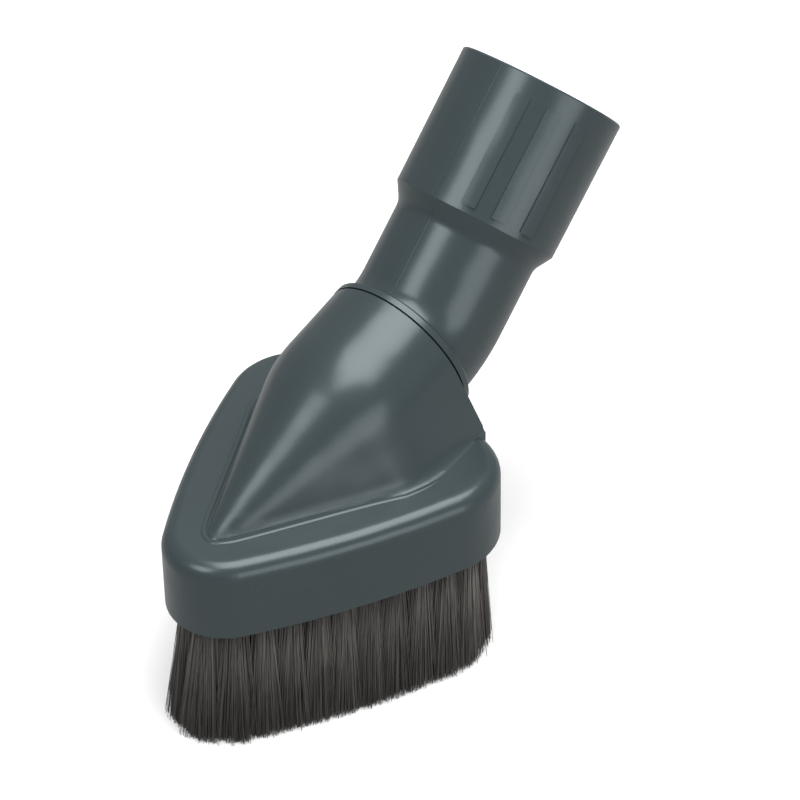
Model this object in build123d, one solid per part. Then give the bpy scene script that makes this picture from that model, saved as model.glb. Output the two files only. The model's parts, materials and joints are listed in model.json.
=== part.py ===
from build123d import *
import math
import os

# A soft dusting brush for a vacuum cleaner: a hollow iron-shaped head with a ring of bristle tufts
# under it, and a bent tube that swivels in the head's neck and takes the cleaner's wand.
# The head is drawn with its back edge at y = 0 and the skirt's lower edge at z = 0, tip towards -Y.

# Head plan, millimetres
head_length = 78.4
head_width = 72.2
side_radius = 220.0
back_radius = 134.0
tip_radius = 13.9
corner_radius = 16.5

# Head mouldings
skirt_height = 19.9
skirt_edge_radius = 4.0
head_wall = 2.2
skirt_wall = 3.2
plate_pocket_wall = 1.8

# Neck and dome
neck_rise = 16.5
neck_radius = 19.3
neck_set_in = 5.6
neck_height = 33.8
dome_bend = 22.0
dome_length = 64.4
dome_blend = 1.5
nose_radius = 3.0
flank_angle_neck = 11.5
flank_angle_nose = 46.0
knee_half = 5.0
foot_radius = 3.0
foot_radius_back = 0.8
foot_half_width_back = 23.2
foot_run = 16.0
foot_sink = 0.06
foot_clear = 0.2
inside_facets = 8

# Swivel
sleeve_length = 7.0
sleeve_wall = 2.2
sleeve_margin = 1.0
swivel_clearance = 0.06
snap_play = 0.15
snap_lip = 0.6
snap_length = 1.8
spigot_wall = 2.0
spigot_slot = 2.6
spigot_slot_count = 4
spigot_slot_turn = 45.0
flange_gap = 0.4
flange_thickness = 2.0
flange_chamfer = 0.6

# Elbow and cuff
tube_radius = 17.3
tube_wall = 2.2
bend_angle = 28.0
bend_radius = 24.5
bend_reach = 8.6
mouth_reach = 60.9
cuff_length = 33.8
cuff_radius = 19.8
mouth_radius = 20.0
mouth_chamfer = 0.4
shoulder_length = 4.2
shoulder_foot_radius = 4.0
socket_radius = 17.6
socket_depth = 31.5
socket_step = 2.5
socket_chamfer = 0.7
rib_angles = (67.0, 45.0, 23.0)
rib_half_angle = 5.0
rib_height = 0.25
rib_mouth_margin = 5.0
rib_shoulder_margin = 1.6

# Bristles and their plate
bristle_length = 32.0
plate_recess = 0.8
plate_thickness = 4.8
plate_clearance = 0.15
tuft_sides = 6
tuft_root_radius = 2.1
tuft_tip_radius = 2.9
tuft_hole_depth = 3.6
tuft_hole_clearance = 0.05
tuft_pitch = 6.2
outer_row_inset = 6.0
inner_row_inset = 10.6
outer_row_splay = 2.0
inner_row_splay = 0.4
tuft_lean = 2.6
staple_height = 1.4
staple_thickness = 0.4
opening_inset = 15.2
opening_corner = 4.0

# Worked-out values
plate_top = plate_recess + plate_thickness
spigot_radius = neck_radius - sleeve_wall - sleeve_margin
sleeve_bore = spigot_radius + swivel_clearance
rise = math.radians(neck_rise)
lift = math.radians(neck_rise + bend_angle)
cuff_start = mouth_reach - cuff_length
shoulder_start = cuff_start - shoulder_length


def circles_meet(first, first_radius, second, second_radius):
    dx = second[0] - first[0]
    dy = second[1] - first[1]
    gap = math.hypot(dx, dy)
    along = (first_radius ** 2 - second_radius ** 2 + gap ** 2) / (2 * gap)
    off = math.sqrt(first_radius ** 2 - along ** 2)
    return (first[0] + (along * dx - off * dy) / gap, first[1] + (along * dy + off * dx) / gap)


def heading(start, end):
    return math.degrees(math.atan2(end[1] - start[1], end[0] - start[0]))


# The rounded triangle is six tangent arcs, and an inset keeps their centres.
def plan_face(inset):
    tip = (0, tip_radius - head_length)
    back = (0, -back_radius)
    corner_x = head_width / 2 - corner_radius
    corner = (corner_x, math.sqrt((back_radius - corner_radius) ** 2 - corner_x ** 2) - back_radius)
    side = circles_meet(tip, side_radius - tip_radius, corner, side_radius - corner_radius)
    at_tip = heading(side, tip)
    at_corner = heading(side, corner)
    at_back = heading(back, corner)
    arcs = [
        (tip, tip_radius, 180 - at_tip, 180 + 2 * at_tip),
        (side, side_radius, at_tip, at_corner - at_tip),
        (corner, corner_radius, at_corner, at_back - at_corner),
        (back, back_radius, at_back, 180 - 2 * at_back),
        ((-corner[0], corner[1]), corner_radius, 180 - at_back, at_back - at_corner),
        ((-side[0], side[1]), side_radius, 180 - at_corner, at_corner - at_tip),
    ]
    edges = [CenterArc(centre, radius - inset, start, size) for centre, radius, start, size in arcs]
    return Face(Wire(edges))


def smooth_min(first, second, blend):
    return (first + second - math.sqrt((first - second) ** 2 + blend ** 2)) / 2


# Planes square to the neck's axis, at a distance forward of the collar
def neck_plane(forward):
    origin = (0, -neck_set_in - forward * math.cos(rise), neck_height - forward * math.sin(rise))
    return Plane(origin=origin, x_dir=(1, 0, 0), z_dir=(0, -math.cos(rise), -math.sin(rise)))


def ledge_level(forward):
    return (skirt_height - neck_height + forward * math.sin(rise)) / math.cos(rise)


# Crown circle, flank angle and top of the dome at a distance forward of the collar
def dome_arch(forward):
    share = (dome_length - forward) / (dome_length - dome_bend)
    nose_top = ledge_level(dome_length)
    top = smooth_min(neck_radius, nose_top + (neck_radius - nose_top) * share, dome_blend)
    radius = smooth_min(neck_radius, nose_radius + (neck_radius - nose_radius) * share, dome_blend)
    flank = flank_angle_neck + (flank_angle_nose - flank_angle_neck) * forward / dome_length
    return top, radius, math.radians(flank)


# The outer section stands on a concave foot. The inner one is the same arch less the wall, in flats.
def dome_section(forward, wall, depth):
    top, radius, flank = dome_arch(forward)
    middle = top - radius
    radius = radius - wall
    spring_x = radius * math.cos(flank)
    spring_v = middle + radius * math.sin(flank)
    base_v = ledge_level(forward) - depth
    if wall > 0:
        step = (math.pi - 2 * flank) / inside_facets
        reach = radius / math.cos(step / 2)
        angles = [flank + step * number for number in range(inside_facets + 1)]
        corners = [(reach * math.cos(angle), middle + reach * math.sin(angle), 0) for angle in angles]
        base_x = corners[0][0] + (corners[0][1] - base_v) * math.tan(flank)
        corners += [(-base_x, base_v, 0), (base_x, base_v, 0)]
        return neck_plane(forward) * Face(Wire.make_polygon(corners))
    crown = ThreePointArc((spring_x, spring_v), (0, middle + radius), (-spring_x, spring_v))
    growth = min(max(forward / foot_run, 0), 1)
    foot = foot_radius_back + (foot_radius - foot_radius_back) * growth
    foot_drop = foot * (1 - math.sin(flank))
    foot_v = smooth_min(ledge_level(forward) - foot_sink, spring_v - foot_drop - foot_clear, foot_sink)
    heel_x = spring_x + (spring_v - foot_v - foot_drop) * math.tan(flank)
    heel_v = foot_v + foot_drop
    toe_x = heel_x + foot * math.cos(flank)
    half = (math.pi / 2 + flank) / 2
    mid_x = toe_x - foot * math.cos(half)
    mid_v = foot_v + foot - foot * math.sin(half)
    base_x = toe_x + (foot_v - base_v) * math.tan(flank)
    edges = [crown]
    edges.append(Line((-spring_x, spring_v), (-heel_x, heel_v)))
    edges.append(ThreePointArc((-heel_x, heel_v), (-mid_x, mid_v), (-toe_x, foot_v)))
    edges += Polyline((-toe_x, foot_v), (-base_x, base_v), (base_x, base_v), (toe_x, foot_v)).edges()
    edges.append(ThreePointArc((toe_x, foot_v), (mid_x, mid_v), (heel_x, heel_v)))
    edges.append(Line((heel_x, heel_v), (spring_x, spring_v)))
    return neck_plane(forward) * Face(Wire(edges))


def dome_loft(places, wall, depth, ruled):
    return loft([dome_section(forward, wall, depth) for forward in places], ruled=ruled)


# Straight runs from the collar to the knee and from the knee to the nose, with a smooth knee between
def dome_outside(depth):
    knee = [dome_bend + knee_half * step / 2 for step in (-2, -1, 0, 1, 2)]
    neck = dome_loft([-head_wall, foot_run, knee[0]], 0, depth, ruled=True)
    bend = dome_loft(knee, 0, depth, ruled=False)
    nose = dome_loft([knee[-1], dome_length + nose_radius], 0, depth, ruled=True)
    return neck + bend + nose


def dome_inside(depth):
    return dome_loft([head_wall, dome_bend, dome_length - 4 * head_wall], head_wall, depth, ruled=True)


def ring(outer_radius, inner_radius, length):
    return extrude(Circle(outer_radius) - Circle(inner_radius), length)


# The dome stays inside the skirt's rounded edge, except behind the neck, where it runs out to the back.
def dome_column():
    behind_neck = plan_face(0) & Rectangle(2 * foot_half_width_back, 2 * head_length)
    return extrude(plan_face(skirt_edge_radius) + behind_neck, neck_height + 2 * neck_radius)


# One hollow moulding: skirt, dome, neck face and the sleeve that the elbow turns in
def head_shell():
    skirt = extrude(plan_face(0), skirt_height)
    skirt = fillet(skirt.edges().group_by(Axis.Z)[-1], skirt_edge_radius)
    shell = skirt + (dome_outside(skirt_edge_radius + foot_radius) & dome_column())
    shell -= neck_plane(0) * extrude(Rectangle(2 * head_width, 2 * head_width), -head_width)
    shell -= extrude(plan_face(plate_pocket_wall), plate_top)
    room = Pos(0, 0, plate_top) * extrude(plan_face(skirt_wall), skirt_height - head_wall - plate_top)
    shell -= room
    shell -= dome_inside(2 * head_wall) & extrude(plan_face(skirt_wall), neck_height + neck_radius)
    shell += neck_plane(0) * ring(sleeve_bore + sleeve_wall, sleeve_bore, sleeve_length)
    shell -= neck_plane(0) * extrude(Circle(sleeve_bore), sleeve_length)
    return shell


# Root points of a row of tufts, each with its outward direction
def tuft_places(inset):
    row = plan_face(inset).outer_wire()
    count = round(row.length / tuft_pitch)
    places = []
    for number in range(count):
        share = (number + 0.5) / count
        spot = row.position_at(share)
        along = row.tangent_at(share)
        places.append((spot, Vector(along.Y, -along.X, 0)))
    return places


def tuft_place(spot, outward, height):
    return Plane(origin=(spot.X, spot.Y, height), x_dir=outward, z_dir=(0, 0, 1))


def tuft_outline(radius):
    return RegularPolygon(radius, tuft_sides, major_radius=False, rotation=180 / tuft_sides)


# A tuft is straight in its hole, under its staple, then flares, splays outward and leans to the head's tip.
def tuft_ring(radius, centre, height):
    corners = []
    for number in range(tuft_sides):
        angle = 2 * math.pi * (number + 0.5) / tuft_sides
        corners.append((centre[0] + radius * math.cos(angle), centre[1] + radius * math.sin(angle), height))
    return corners


def tuft_solid(splay, outward):
    circumscribed = 1 / math.cos(math.pi / tuft_sides)
    end = (splay - tuft_lean * outward.Y, -tuft_lean * outward.X)
    rings = [
        tuft_ring(tuft_tip_radius * circumscribed, end, -bristle_length - plate_recess),
        tuft_ring(tuft_root_radius * circumscribed, (0, 0), 0),
        tuft_ring(tuft_root_radius * circumscribed, (0, 0), tuft_hole_depth - staple_height),
    ]
    sides = [Face(Wire.make_polygon(rings[0])), Face(Wire.make_polygon(rings[-1]))]
    for low, high in zip(rings, rings[1:]):
        for number in range(tuft_sides):
            after = (number + 1) % tuft_sides
            sides.append(Face(Wire.make_polygon([low[number], low[after], high[after], high[number]])))
    return Solid(Shell(sides))


def tufts(inset, splay):
    row = []
    for spot, outward in tuft_places(inset):
        row.append(tuft_place(spot, outward, plate_recess) * tuft_solid(splay, outward))
    return row


# Flat wires across the bottoms of the holes
def staples(inset):
    level = plate_recess + tuft_hole_depth - staple_height / 2
    blank = Box(staple_thickness, 2 * tuft_root_radius, staple_height)
    return [tuft_place(spot, outward, level) * blank for spot, outward in tuft_places(inset)]


# The plate fills the skirt's pocket, with blind tuft holes and a three-sided suction opening.
def brush_plate():
    plate = extrude(plan_face(plate_pocket_wall + plate_clearance), plate_thickness)
    opening = suction_opening()
    plate -= extrude(opening, plate_thickness)
    hole = extrude(tuft_outline(tuft_root_radius + tuft_hole_clearance), tuft_hole_depth)
    for inset in (outer_row_inset, inner_row_inset):
        plate -= [tuft_place(spot, outward, 0) * hole for spot, outward in tuft_places(inset)]
    return Pos(0, 0, plate_recess) * plate


def suction_opening():
    base = plan_face(inner_row_inset).bounding_box()
    margin = opening_inset - inner_row_inset
    half = base.max.X - margin
    triangle = Polygon(
        (0, base.min.Y + 2 * margin), (half, base.max.Y - margin), (-half, base.max.Y - margin), align=None)
    return fillet(triangle.vertices(), opening_corner)


# The elbow is drawn with the neck's axis along z and the bend towards +y.
def neck_frame():
    direction = (0, math.cos(rise), math.sin(rise))
    return Plane(origin=(0, -neck_set_in, neck_height), x_dir=(-1, 0, 0), z_dir=direction)


def cuff_frame():
    turn = math.radians(bend_angle)
    return Plane(origin=(0, 0, bend_reach), x_dir=(1, 0, 0), z_dir=(0, math.sin(turn), math.cos(turn)))


def elbow_path():
    end = cuff_frame().from_local_coords(Vector(0, 0, shoulder_start))
    return FilletPolyline((0, 0, flange_gap), (0, 0, bend_reach), end, radius=bend_radius)


def turned(points, corners):
    outline = Polygon(*points, align=None)
    for spot, radius in corners:
        outline = fillet(outline.vertices().sort_by_distance(Vector(*spot))[0], radius)
    return revolve(Plane.XZ * outline, Axis.Z)


def cuff_body():
    foot = (tube_radius, shoulder_start)
    points = [(0, bend_reach), (tube_radius, bend_reach), foot, (cuff_radius, cuff_start),
              (mouth_radius, mouth_reach - mouth_chamfer), (mouth_radius - mouth_chamfer, mouth_reach),
              (0, mouth_reach)]
    body = turned(points, [(foot, shoulder_foot_radius)])
    for angle in rib_angles:
        body += cuff_rib(angle)
    return body


def cuff_rib(angle):
    start = cuff_start + rib_shoulder_margin
    length = mouth_reach - rib_mouth_margin - start
    sector = revolve(
        Plane.XZ * Pos(cuff_radius - rib_height, start) * Rectangle(
            mouth_radius + 2 * rib_height - cuff_radius, length, align=Align.MIN),
        Axis.Z, 2 * rib_half_angle)
    return Rot(0, 0, 180 - angle - rib_half_angle) * sector


def cuff_hollow():
    passage = tube_radius - tube_wall
    floor = mouth_reach - socket_depth
    points = [(0, bend_reach), (passage, bend_reach), (passage, floor - socket_step),
              (socket_radius, floor), (socket_radius, mouth_reach - socket_chamfer),
              (socket_radius + socket_chamfer, mouth_reach), (0, mouth_reach)]
    return turned(points, [])


def spigot():
    end = -sleeve_length - snap_play - snap_length
    catch = -sleeve_length - snap_play
    bore = spigot_radius - spigot_wall
    lip_radius = spigot_radius + snap_lip
    points = [(bore, end), (spigot_radius, end), (lip_radius, end + snap_lip), (lip_radius, catch),
              (spigot_radius, catch), (spigot_radius, flange_gap), (bore, flange_gap)]
    body = turned(points, [])
    upright = (Align.CENTER, Align.CENTER, Align.MIN)
    slot = Box(2 * neck_radius, spigot_slot, -end - snap_length / 2, align=upright)
    pairs = spigot_slot_count // 2
    for number in range(pairs):
        body -= Pos(0, 0, end) * Rot(0, 0, spigot_slot_turn + 180 * number / pairs) * slot
    return body


# One moulding: spigot with snap lugs, flange, bent tube, shoulder and cuff
def swivel_elbow():
    flange = Pos(0, 0, flange_gap) * extrude(Circle(neck_radius), flange_thickness)
    flange = chamfer(flange.edges().group_by(Axis.Z)[-1], flange_chamfer)
    path = elbow_path()
    start = Pos(0, 0, flange_gap)
    body = sweep(start * Circle(tube_radius), path) + cuff_frame() * cuff_body()
    body -= sweep(start * Circle(tube_radius - tube_wall), path)
    body -= cuff_frame() * cuff_hollow()
    flange -= start * extrude(Circle(spigot_radius - spigot_wall), flange_thickness)
    return neck_frame() * (body + flange + spigot())


# The finished frame has its origin on the floor under the tufts, in the middle of the overall length.
def rear_end():
    reach = mouth_reach - mouth_chamfer
    rim_y = -neck_set_in + bend_reach * math.cos(rise) + reach * math.cos(lift)
    return rim_y + mouth_radius * math.sin(lift)


outer_tufts = Compound(children=tufts(outer_row_inset, outer_row_splay))
front_end = outer_tufts.bounding_box().min.Y
to_frame = Pos(0, -(front_end + rear_end()) / 2, bristle_length)
staple_rows = staples(outer_row_inset) + staples(inner_row_inset)
nodes = {
    "head_shell": head_shell(),
    "swivel_elbow": swivel_elbow(),
    "brush_plate": brush_plate(),
    "outer_tufts": outer_tufts,
    "inner_tufts": Compound(children=tufts(inner_row_inset, inner_row_splay)),
    "tuft_staples": Compound(children=staple_rows),
}
os.makedirs("parts", exist_ok=True)
for name, piece in nodes.items():
    export_step(to_frame * piece, f"parts/{name}.step")
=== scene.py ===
import bmesh
import bpy
import json
import math
import random
from mathutils import Matrix, Vector
from mathutils.geometry import intersect_line_line_2d


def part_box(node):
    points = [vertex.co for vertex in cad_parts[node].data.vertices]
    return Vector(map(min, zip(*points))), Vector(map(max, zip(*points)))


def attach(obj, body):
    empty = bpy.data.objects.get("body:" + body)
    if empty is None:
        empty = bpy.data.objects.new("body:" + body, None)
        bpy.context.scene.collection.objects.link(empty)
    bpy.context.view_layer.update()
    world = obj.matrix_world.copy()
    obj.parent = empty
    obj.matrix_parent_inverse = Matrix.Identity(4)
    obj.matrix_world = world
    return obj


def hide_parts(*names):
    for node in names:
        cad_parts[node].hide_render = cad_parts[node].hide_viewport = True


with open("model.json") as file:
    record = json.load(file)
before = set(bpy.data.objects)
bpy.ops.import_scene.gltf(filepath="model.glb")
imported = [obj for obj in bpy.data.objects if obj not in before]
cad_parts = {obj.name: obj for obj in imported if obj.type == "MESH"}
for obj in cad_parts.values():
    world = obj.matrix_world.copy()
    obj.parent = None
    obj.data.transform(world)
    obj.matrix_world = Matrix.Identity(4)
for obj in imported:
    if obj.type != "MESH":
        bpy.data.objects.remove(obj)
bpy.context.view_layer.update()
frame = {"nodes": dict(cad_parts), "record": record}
nodes = frame["nodes"]
record = frame["record"]
swivel = record["behaviour"]["joints"][0]
socket = record["mounts"][0]
print("frame loaded", sorted(nodes))


def deselectAll():
    if bpy.context.mode != "OBJECT":
        bpy.ops.object.mode_set(mode="OBJECT")
    bpy.ops.object.select_all(action="DESELECT")


def newMaterial(name):
    material = bpy.data.materials.new(name)
    material.use_nodes = True
    return material, material.node_tree.nodes, material.node_tree.links


def dress(piece, material):
    piece.data.materials.clear()
    piece.data.materials.append(material)


# moulded skin shared by every plastic piece: cloudy colour, rubbed patches, fine grain and a slow swell
skinDetail = {"cloud": 4.0, "grain": 3.0, "swell": 1.0}


def mouldedSkinGroup():
    group = bpy.data.node_groups.new("mouldedSkin", "ShaderNodeTree")
    side = group.interface
    for label, kind, start in (("Deep", "NodeSocketColor", (0.03, 0.04, 0.04, 1)),
                               ("Pale", "NodeSocketColor", (0.06, 0.08, 0.08, 1)),
                               ("Cloud Scale", "NodeSocketFloat", 30.0),
                               ("Grain Scale", "NodeSocketFloat", 2500.0),
                               ("Swell Scale", "NodeSocketFloat", 75.0),
                               ("Smooth", "NodeSocketFloat", 0.28),
                               ("Dull", "NodeSocketFloat", 0.42)):
        side.new_socket(label, in_out="INPUT", socket_type=kind).default_value = start
    side.new_socket("Color", in_out="OUTPUT", socket_type="NodeSocketColor")
    side.new_socket("Roughness", in_out="OUTPUT", socket_type="NodeSocketFloat")
    side.new_socket("Height", in_out="OUTPUT", socket_type="NodeSocketFloat")
    side.new_socket("Swell", in_out="OUTPUT", socket_type="NodeSocketFloat")
    n, link = group.nodes, group.links.new
    given, out = n.new("NodeGroupInput"), n.new("NodeGroupOutput")
    place = n.new("ShaderNodeTexCoord")
    cloud = n.new("ShaderNodeTexNoise")
    cloud.inputs["Detail"].default_value = skinDetail["cloud"]
    link(place.outputs["Object"], cloud.inputs["Vector"])
    link(given.outputs["Cloud Scale"], cloud.inputs["Scale"])
    tone = n.new("ShaderNodeMix")
    tone.data_type = "RGBA"
    link(cloud.outputs["Fac"], tone.inputs["Factor"])
    link(given.outputs["Deep"], tone.inputs["A"])
    link(given.outputs["Pale"], tone.inputs["B"])
    link(tone.outputs["Result"], out.inputs["Color"])
    gloss = n.new("ShaderNodeMix")  # float mix between the smooth and dull patches
    link(cloud.outputs["Fac"], gloss.inputs["Factor"])
    link(given.outputs["Smooth"], gloss.inputs["A"])
    link(given.outputs["Dull"], gloss.inputs["B"])
    link(gloss.outputs["Result"], out.inputs["Roughness"])
    grain = n.new("ShaderNodeTexNoise")
    grain.inputs["Detail"].default_value = skinDetail["grain"]
    link(place.outputs["Object"], grain.inputs["Vector"])
    link(given.outputs["Grain Scale"], grain.inputs["Scale"])
    link(grain.outputs["Fac"], out.inputs["Height"])
    swell = n.new("ShaderNodeTexNoise")
    swell.inputs["Detail"].default_value = skinDetail["swell"]
    link(place.outputs["Object"], swell.inputs["Vector"])
    link(given.outputs["Swell Scale"], swell.inputs["Scale"])
    link(swell.outputs["Fac"], out.inputs["Swell"])
    return group


mouldedSkin = mouldedSkinGroup()


def plasticMaterial(name, look):
    material, n, links = newMaterial(name)
    shader = n["Principled BSDF"]
    skin = n.new("ShaderNodeGroup")
    skin.node_tree = mouldedSkin
    for label, value in look["skin"].items():
        skin.inputs[label].default_value = value
    links.new(skin.outputs["Color"], shader.inputs["Base Color"])
    links.new(skin.outputs["Roughness"], shader.inputs["Roughness"])
    bump = n.new("ShaderNodeBump")
    bump.inputs["Strength"].default_value = look["bump"]
    bump.inputs["Distance"].default_value = look["bumpDepth"]
    links.new(skin.outputs["Height"], bump.inputs["Height"])
    links.new(bump.outputs["Normal"], shader.inputs["Normal"])
    swell = n.new("ShaderNodeBump")
    swell.name = "swell"
    swell.inputs["Distance"].default_value = look["swellDepth"]
    links.new(skin.outputs["Swell"], swell.inputs["Height"])
    links.new(swell.outputs["Normal"], bump.inputs["Normal"])
    shader.inputs["IOR"].default_value = look["ior"]
    shader.inputs["Specular Tint"].default_value = look["sheen"]
    return material


# the dome's creases are blended in the shading, from a little below the neck's rim and only above the ledge
def softenDome(material, blend):
    n, links = material.node_tree.nodes, material.node_tree.links
    neckAxis = Vector(swivel["axis"]).normalized()
    rim = Vector(swivel["pos_m"]).dot(neckAxis)
    place = n.new("ShaderNodeTexCoord")
    along = n.new("ShaderNodeVectorMath")
    along.operation = "DOT_PRODUCT"
    along.inputs[1].default_value = -neckAxis
    links.new(place.outputs["Object"], along.inputs[0])
    below = n.new("ShaderNodeMapRange")
    below.inputs["From Min"].default_value = blend["belowRim"][0] - rim
    below.inputs["From Max"].default_value = blend["belowRim"][1] - rim
    links.new(along.outputs["Value"], below.inputs["Value"])
    split = n.new("ShaderNodeSeparateXYZ")
    links.new(place.outputs["Object"], split.inputs["Vector"])
    above = n.new("ShaderNodeMapRange")
    above.inputs["From Min"].default_value = blend["ledge"]
    above.inputs["From Max"].default_value = blend["ledge"] + blend["overLedge"]
    above.inputs["To Max"].default_value = blend["radius"]
    links.new(split.outputs["Z"], above.inputs["Value"])
    reach = n.new("ShaderNodeMath")
    reach.operation = "MULTIPLY"
    links.new(below.outputs["Result"], reach.inputs[0])
    links.new(above.outputs["Result"], reach.inputs[1])
    rounded = n.new("ShaderNodeBevel")
    rounded.samples = blend["samples"]
    links.new(reach.outputs["Value"], rounded.inputs["Radius"])
    links.new(rounded.outputs["Normal"], n["swell"].inputs["Normal"])


greenGrey = {"skin": {"Deep": (0.029, 0.040, 0.044, 1), "Pale": (0.036, 0.050, 0.054, 1),
                      "Cloud Scale": 22.0, "Grain Scale": 2600.0, "Smooth": 0.23, "Dull": 0.30},
             "bump": 0.05, "bumpDepth": 0.0002, "swellDepth": 0.00035, "ior": 1.5,
             "sheen": (0.86, 0.98, 1.0, 1)}
plateBlack = {"skin": {"Deep": (0.012, 0.013, 0.013, 1), "Pale": (0.022, 0.024, 0.024, 1),
                       "Cloud Scale": 60.0, "Grain Scale": 1800.0, "Smooth": 0.45, "Dull": 0.6},
              "bump": 0.2, "bumpDepth": 0.0002, "swellDepth": 0.0001, "ior": 1.48,
              "sheen": (1, 1, 1, 1)}
domeBlend = {"radius": 0.0045, "belowRim": (0.004, 0.010), "ledge": 0.0520, "overLedge": 0.0006, "samples": 8}
headPlastic = plasticMaterial("headPlastic", greenGrey)
softenDome(headPlastic, domeBlend)
elbowPlastic = plasticMaterial("elbowPlastic", greenGrey)
platePlastic = plasticMaterial("platePlastic", plateBlack)
dress(nodes["head_shell"], headPlastic)
dress(nodes["swivel_elbow"], elbowPlastic)
dress(nodes["brush_plate"], platePlastic)
print("mouldings dressed")


stapleWire = {"dark": (0.42, 0.42, 0.41, 1), "bright": (0.62, 0.61, 0.59, 1), "streakScale": 900.0,
              "roughness": 0.35}


def stapleMaterial():
    material, n, links = newMaterial("stapleWire")
    shader = n["Principled BSDF"]
    shader.inputs["Metallic"].default_value = 1.0
    place = n.new("ShaderNodeTexCoord")
    streak = n.new("ShaderNodeTexNoise")
    streak.inputs["Scale"].default_value = stapleWire["streakScale"]
    links.new(place.outputs["Object"], streak.inputs["Vector"])
    tone = n.new("ShaderNodeMix")
    tone.data_type = "RGBA"
    tone.inputs["A"].default_value = stapleWire["dark"]
    tone.inputs["B"].default_value = stapleWire["bright"]
    links.new(streak.outputs["Fac"], tone.inputs["Factor"])
    links.new(tone.outputs["Result"], shader.inputs["Base Color"])
    shader.inputs["Roughness"].default_value = stapleWire["roughness"]
    return material


dress(nodes["tuft_staples"], stapleMaterial())


# hair: the strand's own tone, darkened towards the root by painted shade, picks a place between dark and pale
hair = {"dark": (0.078, 0.072, 0.067, 1), "middle": (0.150, 0.139, 0.130, 1),
        "pale": (0.270, 0.252, 0.235, 1), "middleAt": 0.6, "roughness": 0.42}


def hairMaterial():
    material, n, links = newMaterial("bristleHair")
    shader = n["Principled BSDF"]
    # the strand value holds its random tone times the painted shade towards its root
    strand = n.new("ShaderNodeAttribute")
    strand.attribute_name = "strandToneAndRootShade"
    tone = n.new("ShaderNodeValToRGB")
    ramp = tone.color_ramp
    ramp.elements[0].color = hair["dark"]
    ramp.elements[1].color = hair["pale"]
    middle = ramp.elements.new(hair["middleAt"])
    middle.color = hair["middle"]
    links.new(strand.outputs["Fac"], tone.inputs["Fac"])
    links.new(tone.outputs["Color"], shader.inputs["Base Color"])
    shader.inputs["Roughness"].default_value = hair["roughness"]
    return material


bristleHair = hairMaterial()
# rootShade is painted shade: the share of a strand's colour left at its root, rising to full at the tip
bristles = {"strandRadius": 0.00010, "strandTip": 0.00007, "strandSides": 3, "ends": (0.0, 1.0),
            "rootRadius": 0.0022, "tipRadius": 0.0031, "fanRoot": 0.0006, "fanTip": 0.0027,
            "uneven": 0.0010, "unevenSpread": 0.45, "backRise": 0.0010, "backCurve": 3, "stray": 0.0005,
            "tone": 0.55, "toneSpread": 0.16, "tuftToneSpread": 0.05, "rootShade": 0.75,
            "outer": {"node": "outer_tufts", "strands": 740, "seed": 11},
            "inner": {"node": "inner_tufts", "strands": 560, "seed": 12}}
tuftTolerance = {"sameSpot": 1e-6, "sameLevel": 1e-5}


# one solid of a tuft node is one bundle, with the centres of its root and its tip
def tuftSpots(node):
    mesh = nodes[node].data
    parent = list(range(len(mesh.vertices)))
    seen = {}
    for vertex in mesh.vertices:
        key = tuple(round(c / tuftTolerance["sameSpot"]) for c in vertex.co)
        parent[vertex.index] = seen.setdefault(key, vertex.index)

    def head(index):
        while parent[index] != index:
            index = parent[index]
        return index

    for edge in mesh.edges:
        first, second = head(edge.vertices[0]), head(edge.vertices[1])
        parent[max(first, second)] = min(first, second)
    groups = {}
    for index in range(len(mesh.vertices)):
        groups.setdefault(head(index), set()).add(tuple(mesh.vertices[index].co))
    spots = []
    for corners in groups.values():
        top = max(c[2] for c in corners)
        low = min(c[2] for c in corners)
        crown = [c for c in corners if top - c[2] < tuftTolerance["sameLevel"]]
        tips = [c for c in corners if c[2] - low < tuftTolerance["sameLevel"]]
        root = Vector([sum(c[k] for c in crown) / len(crown) for k in range(3)])
        tip = Vector([sum(c[k] for c in tips) / len(tips) for k in range(3)])
        spots.append((root, tip))
    return spots


def between(first, last, along):
    return first + (last - first) * along


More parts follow.
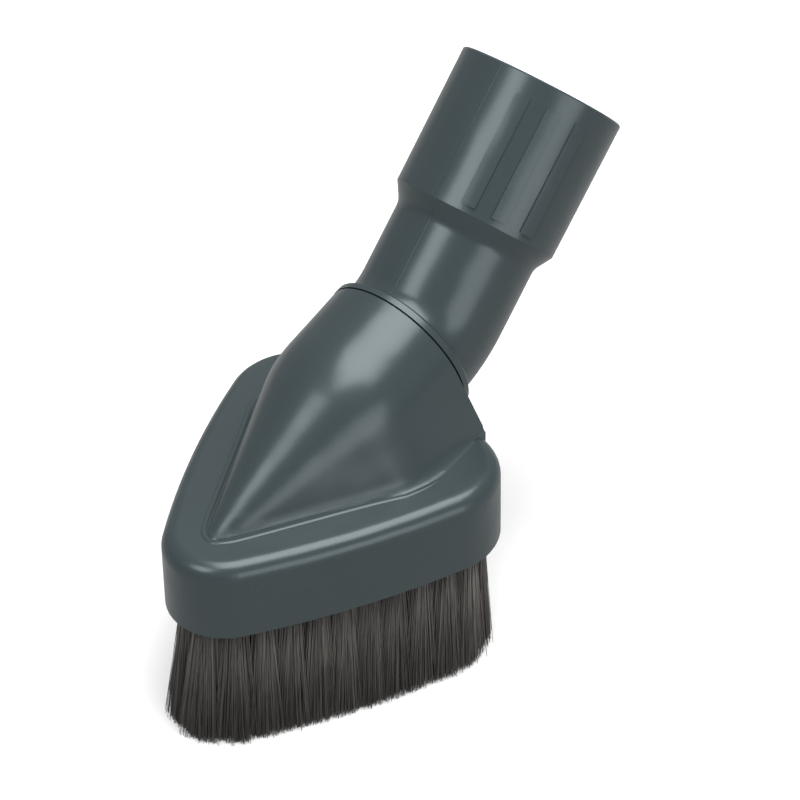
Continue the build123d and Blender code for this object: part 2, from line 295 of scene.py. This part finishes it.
def growBristles(name, row):
    chance = random.Random(row["seed"])
    sides = bristles["strandSides"]
    headFront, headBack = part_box("head_shell")[0].y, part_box("head_shell")[1].y
    points, faces, tonesWithRootShade = [], [], []
    spots = tuftSpots(row["node"])
    for root, tip in spots:
        beside = sorted((other for other, end in spots), key=lambda other: (other - root).length)[1:3]
        rowWay = (beside[0] - beside[1]).normalized()
        share = (tip.y - headFront) / (headBack - headFront)
        tuftTone = chance.gauss(0, bristles["tuftToneSpread"])
        for strand in range(row["strands"]):
            turn = chance.uniform(0, 2 * math.pi)
            spread = Vector((math.cos(turn), math.sin(turn), 0)) * math.sqrt(chance.random())
            sideways = rowWay * chance.uniform(-1, 1)
            stray = Vector((chance.gauss(0, 1), chance.gauss(0, 1), 0)) * bristles["stray"]
            rise = bristles["backRise"] * share ** bristles["backCurve"]
            rise += bristles["uneven"] * abs(chance.gauss(0, bristles["unevenSpread"]))
            tone = chance.gauss(bristles["tone"], bristles["toneSpread"]) + tuftTone
            first = len(points)
            for along in bristles["ends"]:
                width = between(bristles["rootRadius"], bristles["tipRadius"], along)
                fan = between(bristles["fanRoot"], bristles["fanTip"], along)
                size = between(bristles["strandRadius"], bristles["strandTip"], along)
                # painted shade: the strand's colour is scaled down towards its root
                shade = between(bristles["rootShade"], 1, along)
                middle = root.lerp(tip, along) + spread * width + sideways * fan + stray * along
                middle.z += rise * along
                for corner in range(sides):
                    angle = turn + 2 * math.pi * corner / sides
                    points.append(middle + Vector((math.cos(angle), math.sin(angle), 0)) * size)
                    tonesWithRootShade.append(min(1, max(0, tone * shade)))
            last = first + sides
            for corner in range(sides):
                after = (corner + 1) % sides
                faces.append((first + corner, last + corner, last + after, first + after))
            faces.append([last + corner for corner in reversed(range(sides))])
            faces.append([first + corner for corner in range(sides)])
    mesh = bpy.data.meshes.new(name)
    mesh.from_pydata(points, [], faces)
    tone = mesh.attributes.new("strandToneAndRootShade", "FLOAT", "POINT")
    tone.data.foreach_set("value", tonesWithRootShade)
    piece = bpy.data.objects.new(name, mesh)
    bpy.context.collection.objects.link(piece)
    deselectAll()
    piece.select_set(True)
    bpy.context.view_layer.objects.active = piece
    bpy.ops.object.shade_smooth()
    dress(piece, bristleHair)
    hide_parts(row["node"])
    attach(piece, "head")
    print(name, len(faces), "faces")


growBristles("outerBristles", bristles["outer"])
growBristles("innerBristles", bristles["inner"])

# the raised line that the mould's halves leave along the top of the tube and the cuff, from the mouth down
partingLine = {"bead": 0.00016, "bendReach": 0.0086, "tubeRadius": 0.0173, "bendRadius": 0.0245,
               "bendSteps": 6,
               "alongCuff": ((0.0603, 0.0200), (0.0271, 0.0198), (0.0238, 0.01786), (0.0229, 0.01745),
                             (0.0218, 0.0173))}


beadRounding = 4


def upOf(axis):
    return Vector((0, -axis.z, axis.y))


def layBead(name, route, radius):
    curve = bpy.data.curves.new(name, "CURVE")
    curve.dimensions = "3D"
    curve.bevel_depth = radius
    curve.bevel_resolution = beadRounding
    curve.use_fill_caps = True
    spline = curve.splines.new("POLY")
    spline.points.add(len(route) - 1)
    for point, place in zip(spline.points, route):
        point.co = (place.x, place.y, place.z, 1)
    bead = bpy.data.objects.new(name, curve)
    bpy.context.collection.objects.link(bead)
    deselectAll()
    bead.select_set(True)
    bpy.context.view_layer.objects.active = bead
    bpy.ops.object.convert(target="MESH")
    bpy.ops.object.shade_smooth()
    print(name, len(bpy.context.object.data.polygons), "faces")
    return bpy.context.object


def drawPartingLine():
    neckAxis = Vector(swivel["axis"]).normalized()
    cuffAxis = Vector(socket["axis"]).normalized()
    corner = Vector(swivel["pos_m"]) + neckAxis * partingLine["bendReach"]
    route = [corner + cuffAxis * along + upOf(cuffAxis) * out for along, out in partingLine["alongCuff"]]
    bend = cuffAxis.angle(neckAxis)
    tangent = partingLine["bendRadius"] * math.tan(bend / 2)
    pivot = corner + cuffAxis * tangent + upOf(cuffAxis) * partingLine["bendRadius"]
    inside = partingLine["bendRadius"] - partingLine["tubeRadius"]
    for step in range(partingLine["bendSteps"] + 1):  # round the inside of the bend, down to the flange
        turned = Matrix.Rotation(-bend * step / partingLine["bendSteps"], 3, "X") @ upOf(cuffAxis)
        route.append(pivot - turned * inside)
    bead = layBead("partingLine", route, partingLine["bead"])
    dress(bead, elbowPlastic)
    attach(bead, "elbow")


drawPartingLine()

# the fine raised edge of the ledge along the dome's foot, followed round the nose from flank to flank
footRim = {"cut": 0.0523, "height": 0.0511, "bead": 0.0011, "out": 0.0012, "middle": (0.0, -0.004),
           "reach": 0.12, "sweep": 92.0, "steps": 180, "fade": 30, "sink": 0.0006, "sameSpot": 1e-6}


def domeFoot():
    slab = bmesh.new()
    slab.from_mesh(nodes["head_shell"].data)
    bmesh.ops.remove_doubles(slab, verts=slab.verts, dist=footRim["sameSpot"])
    whole = slab.verts[:] + slab.edges[:] + slab.faces[:]
    sliced = bmesh.ops.bisect_plane(slab, geom=whole, plane_co=(0, 0, footRim["cut"]), plane_no=(0, 0, 1))
    walls = []
    for part in sliced["geom_cut"]:
        if isinstance(part, bmesh.types.BMEdge):
            walls.append([corner.co.to_2d() for corner in part.verts])
    slab.free()
    middle = Vector(footRim["middle"])
    outline = []
    for step in range(footRim["steps"] + 1):
        angle = math.radians(footRim["sweep"] * (2 * step / footRim["steps"] - 1))
        far = middle + Vector((math.sin(angle), -math.cos(angle))) * footRim["reach"]
        hits = [intersect_line_line_2d(middle, far, start, end) for start, end in walls]
        outline.append(max((hit for hit in hits if hit), key=lambda hit: (hit - middle).length))
    return outline


def drawFootRim():
    outline = domeFoot()
    route = []
    for step in range(1, len(outline) - 1):
        way = (outline[step + 1] - outline[step - 1]).normalized()
        spot = outline[step] + Vector((way.y, -way.x)) * footRim["out"]
        fromEnd = min(step, len(outline) - 1 - step, footRim["fade"]) / footRim["fade"]
        route.append(Vector((spot.x, spot.y, footRim["height"] - footRim["sink"] * (1 - fromEnd))))
    rim = layBead("footRim", route, footRim["bead"])
    dress(rim, elbowPlastic)
    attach(rim, "head")


drawFootRim()

# camera, at the photograph's angle
shot = {"azimuth": 39.71, "elevation": 39.7, "distance": 0.900, "aim": (-0.01565, 0.022934, 0.03112),
        "centre": (0.0, 0.036884, 0.0320), "lens": 170.5, "sensor": 36.0,
        "nearest": 0.01}


def placeCamera():
    turn, rise = math.radians(shot["azimuth"]), math.radians(shot["elevation"])
    way = Vector((math.sin(turn) * math.cos(rise), -math.cos(turn) * math.cos(rise), math.sin(rise)))
    upright = Vector((-math.sin(turn) * math.sin(rise), math.cos(turn) * math.sin(rise), math.cos(rise)))
    spot = Vector(shot["centre"]) + way * shot["distance"]
    ahead = (Vector(shot["aim"]) - spot).normalized()
    across = ahead.cross(upright).normalized()
    bpy.ops.object.camera_add(location=spot)
    camera = bpy.context.object
    camera.rotation_euler = Matrix((across, across.cross(ahead), -ahead)).transposed().to_euler()
    camera.data.lens = shot["lens"]
    camera.data.sensor_width = shot["sensor"]
    camera.data.clip_start = shot["nearest"]
    bpy.context.scene.camera = camera


placeCamera()

lamps = {"overhead": {"at": (0.14, 0.13, 1.12), "size": 0.82, "power": 15.0},
         "front": {"at": (-0.10, -0.84, 0.98), "size": 0.55, "power": 5.4},
         "right": {"at": (1.06, -0.24, 0.22), "size": 0.70, "power": 4.4},
         "rear": {"at": (-0.70, 0.85, 0.95), "size": 1.10, "power": 1.0}}
lampTarget = (0, 0, 0.06)


def hangLamps():
    for name, lamp in lamps.items():
        bpy.ops.object.light_add(type="AREA", location=lamp["at"])
        light = bpy.context.object
        light.name = name + "Lamp"
        light.data.size = lamp["size"]
        light.data.energy = lamp["power"]
        facing = Vector(lampTarget) - Vector(lamp["at"])
        light.rotation_euler = facing.to_track_quat("-Z", "Y").to_euler()


hangLamps()


stage = {"roomColour": (1, 1, 1, 1), "roomLight": 0.35, "roomSeen": 1.0, "floorSize": 6.0,
         "floorColour": (0.36, 0.36, 0.36, 1), "floorSeen": (1, 1, 1, 1), "floorRoughness": 0.9}


def paleWorld():
    world = bpy.data.worlds.new("paleRoom")
    bpy.context.scene.world = world
    world.use_nodes = True
    n, link = world.node_tree.nodes, world.node_tree.links.new
    room = n["Background"]
    room.inputs["Color"].default_value = stage["roomColour"]
    room.inputs["Strength"].default_value = stage["roomLight"]
    seen = n.new("ShaderNodeBackground")
    seen.inputs["Strength"].default_value = stage["roomSeen"]
    path = n.new("ShaderNodeLightPath")
    choose = n.new("ShaderNodeMixShader")
    link(path.outputs["Is Camera Ray"], choose.inputs["Fac"])
    link(room.outputs["Background"], choose.inputs[1])
    link(seen.outputs["Background"], choose.inputs[2])
    link(choose.outputs["Shader"], n["World Output"].inputs["Surface"])


paleWorld()


def paleFloor():
    bpy.ops.mesh.primitive_plane_add(size=stage["floorSize"], location=(0, 0, 0))
    floor = bpy.context.object
    floor.name = "floor"
    material, n, links = newMaterial("paleFloor")
    shader = n["Principled BSDF"]
    path = n.new("ShaderNodeLightPath")
    shown = n.new("ShaderNodeMix")
    shown.data_type = "RGBA"
    shown.inputs["A"].default_value = stage["floorColour"]
    shown.inputs["B"].default_value = stage["floorSeen"]
    links.new(path.outputs["Is Camera Ray"], shown.inputs["Factor"])
    links.new(shown.outputs["Result"], shader.inputs["Base Color"])
    shader.inputs["Roughness"].default_value = stage["floorRoughness"]
    dress(floor, material)


paleFloor()
bpy.context.scene.view_settings.view_transform = "Standard"
print("stage set")
